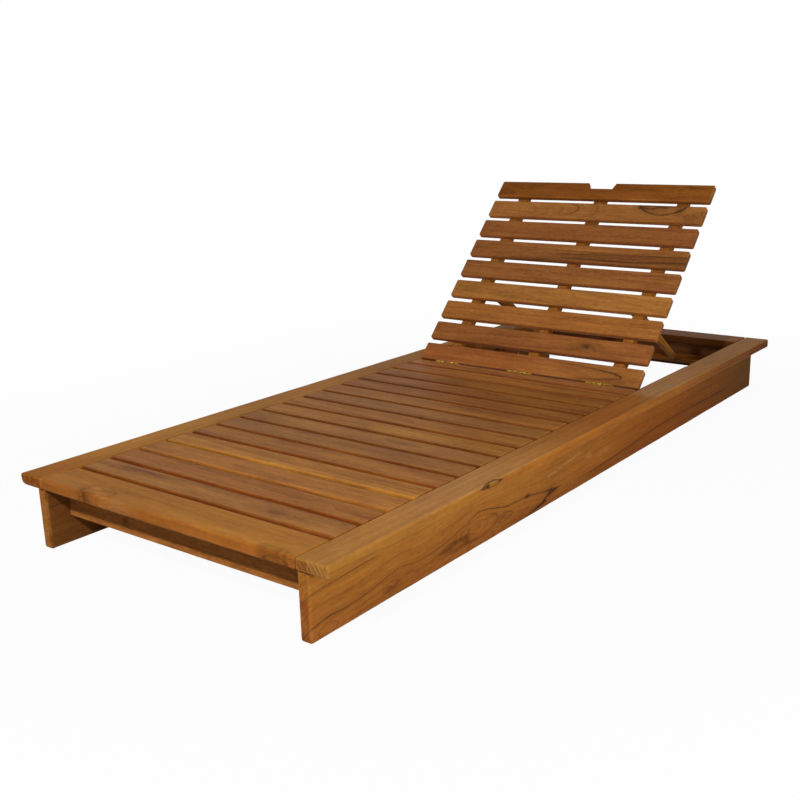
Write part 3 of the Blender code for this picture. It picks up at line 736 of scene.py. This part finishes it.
def worked_out(mesh, tree, inputs):
    """Runs a tree on a mesh and gives back the plain mesh that it makes."""
    carrier = linked("carrier", mesh)
    modifier = carrier.modifiers.new("row", "NODES")
    modifier.node_group = tree
    for item in tree.interface.items_tree:
        if item.in_out == "INPUT" and item.name in inputs:
            modifier[item.identifier] = inputs[item.name]
    made = bpy.data.meshes.new_from_object(carrier.evaluated_get(bpy.context.evaluated_depsgraph_get()))
    carrier.modifiers.remove(modifier)
    bpy.data.objects.remove(carrier)
    return made


slat_row = slat_tree()


def row_of_slats(nodes, lay, finish, seed):
    """Like slats as one mesh, with each point's plank place and its slat's number."""
    boxes = [extent(node, lay) for node in nodes]
    half = (boxes[0][1] - boxes[0][0]) / 2
    mesh, places, rim = plank_mesh("slat", -half, half, SLAT_ROUND, lay, SLAT_CORNER, seed=seed)
    middles = [np.array(lay) @ ((low + high) / 2) for low, high in boxes]
    step = (middles[-1] - middles[0]) / (len(nodes) - 1)
    mesh = worked_out(mesh, slat_row, {"Count": len(nodes), "First": Vector(middles[0]), "Step": Vector(step),
                                       "Out of true": OUT_OF_TRUE, "Seed": seed, "Finish": finish})
    number = np.zeros(len(mesh.vertices), np.int32)
    mesh.attributes["number"].data.foreach_get("value", number)
    return mesh, np.tile(places, (len(nodes), 1)), np.tile(rim, len(nodes)), number


def numbered_grain(places, rim, number, tones, seed, touch, edge_shades):
    """One grain for a row: each slat sawn, darkened at its long edges with painted shade, and toned on its
    own.
    """
    whole = Grain(places, seed, tones[0], on_edge=rim)
    for n, (tone, edge_shade) in enumerate(zip(tones, edge_shades)):
        own = number == n
        slat = Grain(places[own], seed + n, tone, on_edge=rim[own])
        slat.paint_edge_shade(*edge_shade)
        for word, spots in touch.get(n, ()):
            getattr(slat, word)(*spots)
        for part in ("log", "tone", "swell", "veins", "force", "stain", "chalk", "worn"):
            getattr(whole, part)[own] = getattr(slat, part)
    return whole


mesh, slat, half = planed("deck_slat_01", FLAT_ACROSS, RAIL_ROUND, 14, "tan", (-0.02, -0.05), (0.01, 0.03),
                          step=0.003, across_step=0.003)
places, near = slat.places, -half[1]
slat.tint(0.05, 0.10, 0)
slat.knot(-0.195, near + 0.004, 0.020, 0.10, 0.030)
slat.knot(0.29, near, 0.012, 0.25, 0.012)
slat.loop(-0.196, near + 0.026, 0.022, 0.009, 0.40, thick=0.7)
slat.loop(-0.186, near + 0.020, 0.046, 0.024, 0.30, 2, thick=0.8)
for a, half_length, half_width, force in (
        (0.296, 0.026, 0.008, 0.60), (0.330, 0.012, 0.011, 0.45), (-0.206, 0.016, 0.009, 0.50)):
    slat.loop(a, -0.006, half_length, half_width, force, 0, way=2, thick=0.6)
slat.force[places[:, 1] > near + 0.008, 0] = 0.0
for a, b, length, width, amount in (
        (-0.219, 0.010, 0.006, 0.010, 0.45), (-0.204, 0.001, 0.007, 0.006, 0.50),
        (-0.188, 0.004, 0.010, 0.004, 0.40), (-0.198, 0.027, 0.018, 0.006, -0.36),
        (-0.180, 0.013, 0.016, 0.004, -0.34), (-0.165, 0.004, 0.030, 0.006, -0.22),
        (-0.245, 0.040, 0.040, 0.006, -0.14), (-0.160, 0.030, 0.020, 0.005, 0.24),
        (-0.130, 0.044, 0.035, 0.005, 0.22), (-0.26, 0.024, 0.030, 0.004, 0.18),
        (0.05, 0.046, 0.16, 0.005, 0.14), (0.12, 0.018, 0.14, 0.006, -0.12),
        (0.268, 0.002, 0.012, 0.005, 0.34), (0.302, 0.004, 0.006, 0.008, 0.40),
        (0.318, 0.002, 0.005, 0.010, 0.34), (0.240, 0.006, 0.020, 0.006, -0.20),
        (0.285, 0.012, 0.030, 0.004, 0.20)):
    slat.shade(a, near + b, length, width, amount)
# Painted shade on the long edges, which also leaves them redder.
slat.paint_edge_shade(0.08, 0.24, 0.30)
slat.chalk += 0.16 * blob(places, (-0.11, near), (0.045, 0.006))
slat.keep(mesh)
piece("slat_foot", mesh, rail_teak, ["deck_slat_01"], "frame")

like = [f"deck_slat_{n:02d}" for n in range(2, 2 + LIKE_SLATS)]
mesh, places, rim, number = row_of_slats(like, FLAT_ACROSS, deck_teak, 20)
touch = {
    0: [("shade", (0.17, 0.0, 0.05, 0.012, 0.25)), ("knot", (0.18, -0.004, 0.012, 0.10))],
    1: [("knot", (0.22, 0.004, 0.014, 0.08))],
    2: [("shade", (0.0, -0.028, 0.5, 0.0042, -0.42))],
    3: [("shade", (0.05, -0.028, 0.5, 0.0042, -0.46))],
    4: [("shade", (-0.1, 0.0, 0.10, 0.02, 0.10))],
    5: [("shade", (0.15, -0.01, 0.06, 0.012, 0.18))],
    8: [("shade", (0.20, 0.004, 0.07, 0.012, 0.22))],
    11: [("knot", (0.244, 0.0, 0.008, 0.25)), ("shade", (-0.06, 0.004, 0.03, 0.012, 0.20))],
    12: [("knot", (0.06, 0.002, 0.010, 0.15)), ("knot", (0.16, -0.004, 0.010, 0.12))],
    13: [("shade", (-0.085, 0.0, 0.04, 0.014, 0.30))],
}
# Painted shade on each deck slat's long edges, lighter on the near slats.
edge_shades = [WARM_EDGE_SHADE] * 2 + [LIGHT_EDGE_SHADE] * 2 + [WARM_EDGE_SHADE] * 2 + [DEEP_EDGE_SHADE] * (LIKE_SLATS - 6)
numbered_grain(places, rim, number, DECK_TONES, 20, touch, edge_shades).keep(mesh)
piece("slats_deck", mesh, deck_teak, like, "frame")

mesh, slat, _ = planed("deck_slat_17", FLAT_ACROSS, SLAT_ROUND, 40, "amber", corner=SLAT_CORNER)
slat.tint(0, 0, 0.3)
# Painted shade on the long edges.
slat.paint_edge_shade(*DEEP_EDGE_SHADE)
slat.keep(mesh)
piece("slat_last", mesh, deck_teak, ["deck_slat_17"], "frame")

# Backrest slats: nine teak slats up the slope, the topmost with a hand grip cut into its upper edge.
# Same stock as the deck, sanded and oiled, held from behind by screws through the battens.
back_angle = math.radians(-frame["joints"][0]["range_deg"][0])
UP_BACK = Vector((0, math.cos(back_angle), math.sin(back_angle)))
BACK = laid(RIGHT, UP_BACK)
back_teak = teak("oiled_back_teak", ring_gap=0.0075, lines=0.6, figure=0.7, clouds=1.2, shine=0.025)
BACK_TONES = "red orange golden brown brown red tan".split()
# Amounts of painted shade on the backrest slats' long edges.
BACK_EDGE_SHADE = (0.08, 0.16, 0.18)
like = [f"back_slat_{n}" for n in range(2, 2 + len(BACK_TONES))]
mesh, places, rim, number = row_of_slats(like, BACK, back_teak, 50)
touch = {
    0: [("knot", (0.156, 0.001, 0.014, 0.95)), ("shade", (0.150, 0.0, 0.032, 0.014, 0.30)),
        ("loop", (0.156, 0.001, 0.050, 0.015, 0.22))],
    2: [("shade", (0.25, 0.0, 0.12, 0.03, -0.12)),
        ("line", (((0.03, 0.028), (0.064, 0.024), (0.136, 0.012), (0.213, 0.003), (0.29, -0.015)),
                  0.34, 0.02, 0.3, 0, 0.03)),
        ("line", (((0.12, 0.027), (0.21, 0.017), (0.30, 0.010)), 0.28, 0.02, 0.3, 1, 0.04, 1.3)),
        ("arch", (0.335, -0.012, -0.004, 0.04, 0.35, 2))],
    4: [("line", (((-0.32, 0.014), (-0.1, 0.010), (0.1, 0.005)), 0.45, 0.03, 0.3, 0, 0.04, 1.0)),
        ("line", (((-0.02, -0.005), (0.2, 0.0025), (0.345, 0.006)), 0.65, 0.03, 0.3, 1, 0.03, 1.4)),
        ("line", (((0.0, -0.018), (0.18, -0.0205), (0.345, -0.012)), 0.75, 0.03, 0.3, 2, 0.04, 2.4)),
        ("shade", (-0.11, -0.026, 0.09, 0.005, 0.50)), ("shade", (0.30, 0.0, 0.08, 0.02, 0.15)),
        ("shade", (0.12, -0.010, 0.25, 0.007, 0.25)), ("shade", (0.05, 0.012, 0.12, 0.006, -0.25))],
    6: [("arch", (-0.040, 0.0065, 0.0066, 0.05, 0.85)), ("arch", (0.021, 0.006, 0.0120, 0.05, 0.50, 2)),
        ("arch", (-0.092, 0.000, 0.0080, 0.03, 0.40, 1)), ("arch", (-0.139, -0.004, 0.0080, 0.03, 0.40, 2)),
        ("arch", (-0.180, -0.002, 0.0080, 0.03, 0.34, 1)), ("arch", (0.284, -0.008, -0.0022, 0.024, 0.50, 2)),
        ("arch", (0.306, -0.002, -0.0022, 0.024, 0.50, 0)), ("arch", (0.328, 0.004, -0.0022, 0.020, 0.52, 2)),
        ("loop", (0.212, 0.028, 0.067, 0.034, 0.90, 1, 1, 1.4)),
        ("line", (((0.148, 0.0165), (0.176, 0.014), (0.203, 0.021), (0.225, 0.0195)),
                  0.80, 0.006, 0.3, 0, 0.008, 1.8)),
        ("line", (((0.160, 0.026), (0.205, 0.0275), (0.262, 0.026)), 0.80, 0.006, 0.3, 2, 0.010, 1.8)),
        ("shade", (0.155, 0.022, 0.018, 0.009, 0.55)), ("shade", (0.266, 0.010, 0.012, 0.012, 0.50)),
        ("shade", (0.205, 0.027, 0.040, 0.004, 0.60)), ("shade", (0.19, 0.010, 0.030, 0.004, 0.25)),
        ("shade", (0.31, -0.012, 0.030, 0.014, 0.18)),
        ("knot", (0.21, 0.020, 0.016, 0.15)), ("shade", (-0.22, 0.0, 0.14, 0.03, -0.16))],
}
slats = numbered_grain(places, rim, number, BACK_TONES, 50, touch, [BACK_EDGE_SHADE] * len(like))
# Painted sheen: a paler, bluer tint over the backrest slats stands in for the white sky mirrored in them.
slats.tint(0.06, 0.08, 0.42)
slats.keep(mesh)
piece("slats_back", mesh, back_teak, like, "backrest")

mesh, slat, _ = planed("back_slat_1", BACK, SLAT_ROUND, 60, "brown", corner=SLAT_CORNER)
# Painted sheen: paler and bluer, as on the other backrest slats.
slat.tint(0.06, 0.09, 0.30)
slat.tint(0.0566, -0.1009, -0.0154, 1 - rising(slat.places[:, 0], -0.10, 0.3))
slat.arch(0.286, -0.0046, 0.0014, 0.16, 1.0, thick=1.2)
slat.keep(mesh)
piece("slat_back_lowest", mesh, back_teak, ["back_slat_1"], "backrest")

GRIP_TOP, GRIP_BASE, GRIP_DEPTH = 0.0440, 0.0370, 0.0200
DENSE_MARGIN = 0.004


def hand_grip(along):
    """How far the upper edge is cut down: a trough with sloping ends."""
    return GRIP_DEPTH * rising(GRIP_TOP - np.abs(along), 0, GRIP_TOP - GRIP_BASE)


dense = np.linspace(GRIP_BASE - DENSE_MARGIN, GRIP_TOP + DENSE_MARGIN, 24)
mesh, slat, _ = planed("back_slat_9", BACK, SLAT_ROUND, 61, "dark", corner=SLAT_CORNER, lowered=hand_grip,
                       more=[*dense, *-dense])
slat.tint(-0.04, -0.10, -0.30)
slat.knot(-0.232, 0.004, 0.012, 0.22)
slat.knot(0.246, 0.005, 0.012, 0.40)
for a, b, length, width, amount in (
        (-0.220, 0.015, 0.030, 0.004, 0.28), (0.155, 0.009, 0.030, 0.004, 0.25),
        (0.270, 0.018, 0.030, 0.005, 0.45), (-0.30, 0.002, 0.04, 0.010, 0.14),
        (0.06, -0.016, 0.12, 0.008, -0.14)):
    slat.shade(a, b, length, width, amount)
slat.keep(mesh)
piece("slat_back_top", mesh, back_teak, ["back_slat_9"], "backrest")

# Battens: three teak strips up the back of the slats, the outer two thinned at the top.
# They hold the slats together and carry the prop's pivot blocks.
BATTEN = laid(UP_BACK, -RIGHT)
for word, seed in (("left", 70), ("center", 71), ("right", 72)):
    grained_piece(f"batten_{word}", f"back_batten_{word}", BATTEN, seed, "orange", "backrest")
for word, seed in (("left", 73), ("right", 74)):
    grained_piece(f"block_{word}", f"pivot_block_{word}", BATTEN, seed, "brown", "backrest")

# Prop: two tapered teak arms on the pivots and a bar across their feet that drops into the racks.
# Planed and oiled; the bar is screwed to the arms' ends.
pivot = Vector(frame["joints"][1]["pos_m"])
bar_low, bar_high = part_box("prop_crossbar")
down_arm = (bar_low + bar_high) / 2 - pivot
down_arm.x = 0
down_arm.normalize()
ARM = laid(down_arm, RIGHT)
for word, seed in (("left", 80), ("right", 81)):
    grained_piece(f"arm_{word}", f"prop_arm_{word}", ARM, seed, "golden", "prop")
grained_piece("bar_across", "prop_crossbar", laid(RIGHT, down_arm), 82, "orange", "prop")

# Hinges: three brass butt hinges between the last deck slat and the lowest backrest slat, and pivot bolts.
# Rolled knuckles on a pin, satin from handling and browned in the joints.


def brass(name):
    """Brushed brass with brown tarnish in patches."""
    material, shader, metal = new_material(name)
    spot = metal.made("ShaderNodeTexCoord", {}, {}, "Object")
    brushed = spot.noise((900.0, 60.0, 60.0), 2.0)
    tarnish = spot.noise((45.0, 60.0, 60.0), 3.0, 0.6).between(-0.2, 0.4)
    colour = (tarnish * 0.8).mixed((0.33, 0.185, 0.028), (0.09, 0.042, 0.012))
    matt = 0.42 + tarnish * 0.20 + brushed * 0.05
    feed(shader, colour, matt, brushed, strength=0.15, depth=0.0002)
    shader.inputs["Metallic"].default_value = 1.0
    return material


hinge_brass = brass("satin_brass")
for word in ("left", "center", "right"):
    for part, body in (("deck_leaf", "frame"), ("pin", "frame"), ("back_leaf", "backrest")):
        node = f"hinge_{word}_{part}"
        piece(f"brass_{word}_{part}", shaped_copy(node), hinge_brass, [node], body)
for word in ("left", "right"):
    node = f"pivot_bolt_{word}"
    piece(f"bolt_{word}", shaped_copy(node), hinge_brass, [node], "backrest")

# Screws: brass cross-headed screws through the battens and bearers into the slats, in the racks and the bar.
# Driven flush, so only their heads show; none close to a batten's top or to a bearer's end.


SCREW = {"Radius": 0.0034, "Height": 0.0009, "Slot": 0.0010}
HEAD_SIDES, HEAD_TAPER, SLOT_REACH, SLOT_LIFT = 14, 0.86, 1.25, 0.9
HALF_TURN = 3.14
BARE_TOP, BARE_END = 0.055, 0.02
RACK_SCREW_UP, RACK_SHARES = 0.010, (0.12, 0.5, 0.88)
BAR_HALF = 0.013


def screw_tree():
    """Sets screw heads on points, each facing its own way and turned at random."""
    tree, given = new_tree("screw_heads", {
        "Spots": "Geometry", "Radius": "Float", "Height": "Float", "Slot": "Float", "Seed": "Int",
        "Finish": "Material"})
    radius, height, slot = given.out("Radius"), given.out("Height"), given.out("Slot")
    disc = given.made("GeometryNodeMeshCone", {"fill_type": "NGON"}, {
        "Vertices": HEAD_SIDES, "Radius Top": radius * HEAD_TAPER, "Radius Bottom": radius, "Depth": height},
        "Mesh")
    less = {"operation": "DIFFERENCE", "solver": "EXACT"}
    cut = given.made("GeometryNodeMeshBoolean", less, {"Mesh 1": disc})
    lift = given.made("ShaderNodeCombineXYZ", {}, {"Z": height * SLOT_LIFT})
    for long, short in (("X", "Y"), ("Y", "X")):
        size = given.made("ShaderNodeCombineXYZ", {}, {long: radius * SLOT_REACH, short: slot, "Z": height})
        block = given.made("GeometryNodeMeshCube", {}, {"Size": size}, "Mesh")
        raised = given.made("GeometryNodeTransform", {}, {"Geometry": block, "Translation": lift})
        tree.links.new(raised.socket, cut.socket.node.inputs["Mesh 2"])
    facing = given.made("GeometryNodeInputNamedAttribute", {"data_type": "FLOAT_VECTOR"}, {"Name": "facing"})
    aim = given.made("FunctionNodeAlignRotationToVector", {"axis": "Z"}, {"Vector": facing})
    spin = given.made("FunctionNodeRandomValue", {"data_type": "FLOAT"},
                      {2: 0.0, 3: HALF_TURN, "Seed": given.out("Seed")}, 1)
    turn = given.made("ShaderNodeCombineXYZ", {}, {"Z": spin})
    driven = given.made("FunctionNodeRotateRotation", {"rotation_space": "LOCAL"},
                        {"Rotation": aim, "Rotate By": turn})
    set_in = given.made("GeometryNodeInstanceOnPoints", {},
                        {"Points": given.out("Spots"), "Instance": cut, "Rotation": driven})
    return finished(tree, given, set_in)


screw_heads = screw_tree()


def screws(name, spots, body, seed):
    """Screw heads at (place, facing) spots, as one mesh."""
    mesh = bpy.data.meshes.new(name)
    mesh.from_pydata([tuple(place) for place, _ in spots], [], [])
    store(mesh, "facing", "FLOAT_VECTOR", np.array([tuple(facing) for _, facing in spots]))
    obj = linked(name, worked_out(mesh, screw_heads, {**SCREW, "Seed": seed, "Finish": hinge_brass}))
    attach(obj, body)


behind = BACK @ Vector((0, 0, -1))
spots = []
for word in ("left", "center", "right"):
    low, high = extent(f"back_batten_{word}", BACK)
    for n in range(1, 10):
        slat_low, slat_high = extent(f"back_slat_{n}", BACK)
        up = (slat_low[1] + slat_high[1]) / 2
        if up < high[1] - BARE_TOP:
            spots.append((BACK @ Vector(((low[0] + high[0]) / 2, up, low[2])), behind))
screws("screws_backrest", spots, "backrest", 3)

spots = []
for word in ("left", "center", "right"):
    low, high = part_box(f"bearer_{word}")
    for n in range(2, 18):
        slat_low, slat_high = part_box(f"deck_slat_{n:02d}")
        middle = (slat_low.y + slat_high.y) / 2
        if middle < high.y - BARE_END:
            spots.append((Vector(((low.x + high.x) / 2, middle, low.z)), -UP))
for word, side in (("left", 1), ("right", -1)):
    low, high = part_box(f"rack_{word}")
    for share in RACK_SHARES:
        along = low.y + share * (high.y - low.y)
        place = Vector((high.x if side > 0 else low.x, along, low.z + RACK_SCREW_UP))
        spots.append((place, side * RIGHT))
screws("screws_frame", spots, "frame", 4)

spots = []
for word in ("left", "right"):
    arm_low, arm_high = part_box(f"prop_arm_{word}")
    face = (bar_low + bar_high) / 2
    face.x = (arm_low.x + arm_high.x) / 2
    spots.append((face + down_arm * BAR_HALF, down_arm))
screws("screws_prop", spots, "prop", 5)

# Studio: a white floor and sky, a key lamp from the foot end, a soft lamp from the right and two low lamps,
# from the left and from the head end, that stay out of the gloss. Sky and floor show white to the eye,
# and the floor keeps a faint shadow.
SEEN = ("Is Camera Ray", "Is Glossy Ray", "Is Transmission Ray")


def seen_white(values):
    """1 for what the eye sees, straight or in a gloss, and 0 for what only lights the lounger."""
    rays = values.made("ShaderNodeLightPath")
    return rays.math("MINIMUM", rays.out(SEEN[0]) + rays.out(SEEN[1]) + rays.out(SEEN[2]), 1.0)


world = bpy.data.worlds.new("studio")
bpy.context.scene.world = world
world.use_nodes = True
sky = world.node_tree.nodes["Background"]
SKY_LIGHT, SHADOWED = 0.10, 0.96
strength = seen_white(Amount(world.node_tree)) * (1.0 - SKY_LIGHT) + SKY_LIGHT
sky.inputs["Color"].default_value = (1.0, 1.0, 1.0, 1.0)
world.node_tree.links.new(strength.socket, sky.inputs["Strength"])

FLOOR_HALF, FLOOR_LEVEL = 30.0, -0.0005
pale, matt_floor, ground_tone = new_material("pale_floor")
matt_floor.inputs["Base Color"].default_value = (0.50, 0.50, 0.50, 1.0)
matt_floor.inputs["Roughness"].default_value = 1.0
matt_floor.inputs["Specular IOR Level"].default_value = 0.0
white = ground_tone.made("ShaderNodeEmission", {}, {"Color": (1.0, 1.0, 1.0), "Strength": 1.0})
spot = ground_tone.made("ShaderNodeTexCoord", {}, {}, "Object")
from_lounger = spot.made("ShaderNodeVectorMath", {"operation": "LENGTH"}, {0: spot}, "Value")
bare_white = from_lounger.between(1.0, 2.6) * (1.0 - SHADOWED) + SHADOWED
blend = ground_tone.made("ShaderNodeMixShader", {}, {0: seen_white(ground_tone) * bare_white, 2: white})
floor_nodes = pale.node_tree
floor_nodes.links.new(matt_floor.outputs[0], blend.socket.node.inputs[1])
floor_nodes.links.new(blend.socket, floor_nodes.nodes["Material Output"].inputs["Surface"])
floor_mesh = bpy.data.meshes.new("floor")
corners = [(x * FLOOR_HALF, y * FLOOR_HALF, FLOOR_LEVEL) for x, y in ((-1, -1), (1, -1), (1, 1), (-1, 1))]
floor_mesh.from_pydata(corners, [], [(0, 1, 2, 3)])
floor_mesh.materials.append(pale)
floor = linked("floor", floor_mesh)


def lamp(name, place, target, power, in_gloss=True, shape="RECTANGLE", **settings):
    """A flat lamp, itself unseen, that shines from a place towards a target."""
    data = bpy.data.lights.new(name, "AREA")
    data.energy = power
    data.shape = shape
    for key, value in settings.items():
        setattr(data, key, value)
    obj = linked(name, data)
    obj.location = place
    obj.rotation_euler = (Vector(target) - Vector(place)).to_track_quat("-Z", "Y").to_euler()
    obj.visible_camera, obj.visible_glossy = False, in_gloss


lamp("key_lamp", (0.55, -2.75, 2.05), (0.0, 0.0, 0.3), 77.0, shape="DISK", size=0.14, color=(1.0, 0.97, 0.92))
lamp("soft_lamp", (2.2, -0.8, 0.52), (0.35, -0.68, 0.06), 30.0, size=1.4, size_y=0.8)
lamp("left_lamp", (-2.2, 0.2, 0.30), (-0.36, 0.0, 0.10), 22.0, False, size=1.6, size_y=0.4)
lamp("back_lamp", (0.2, 3.0, 0.26), (0.0, 0.6, 0.26), 44.0, False, size=1.4, size_y=0.4)

EYE, YAW, PITCH, ROLL = Vector((1.4263, -2.1014, 0.8149)), 0.6491, 0.2727, 0.0238
LENS, FILM_WIDTH, SHIFT = 47.02, 36.0, (-0.0209, 0.0141)
level = Vector((math.cos(YAW), math.sin(YAW), 0))
ahead = Vector((-math.sin(YAW) * math.cos(PITCH), math.cos(YAW) * math.cos(PITCH), -math.sin(PITCH)))
down = ahead.cross(level)
sideways = math.cos(ROLL) * level + math.sin(ROLL) * down
downwards = math.cos(ROLL) * down - math.sin(ROLL) * level
camera_data = bpy.data.cameras.new("camera")
camera_data.lens, camera_data.sensor_width = LENS, FILM_WIDTH
camera_data.shift_x, camera_data.shift_y = SHIFT
camera = linked("camera", camera_data)
camera.matrix_world = Matrix.Translation(EYE) @ Matrix((sideways, -downwards, -ahead)).transposed().to_4x4()
bpy.context.scene.camera = camera
bpy.context.scene.view_settings.view_transform = "Standard"
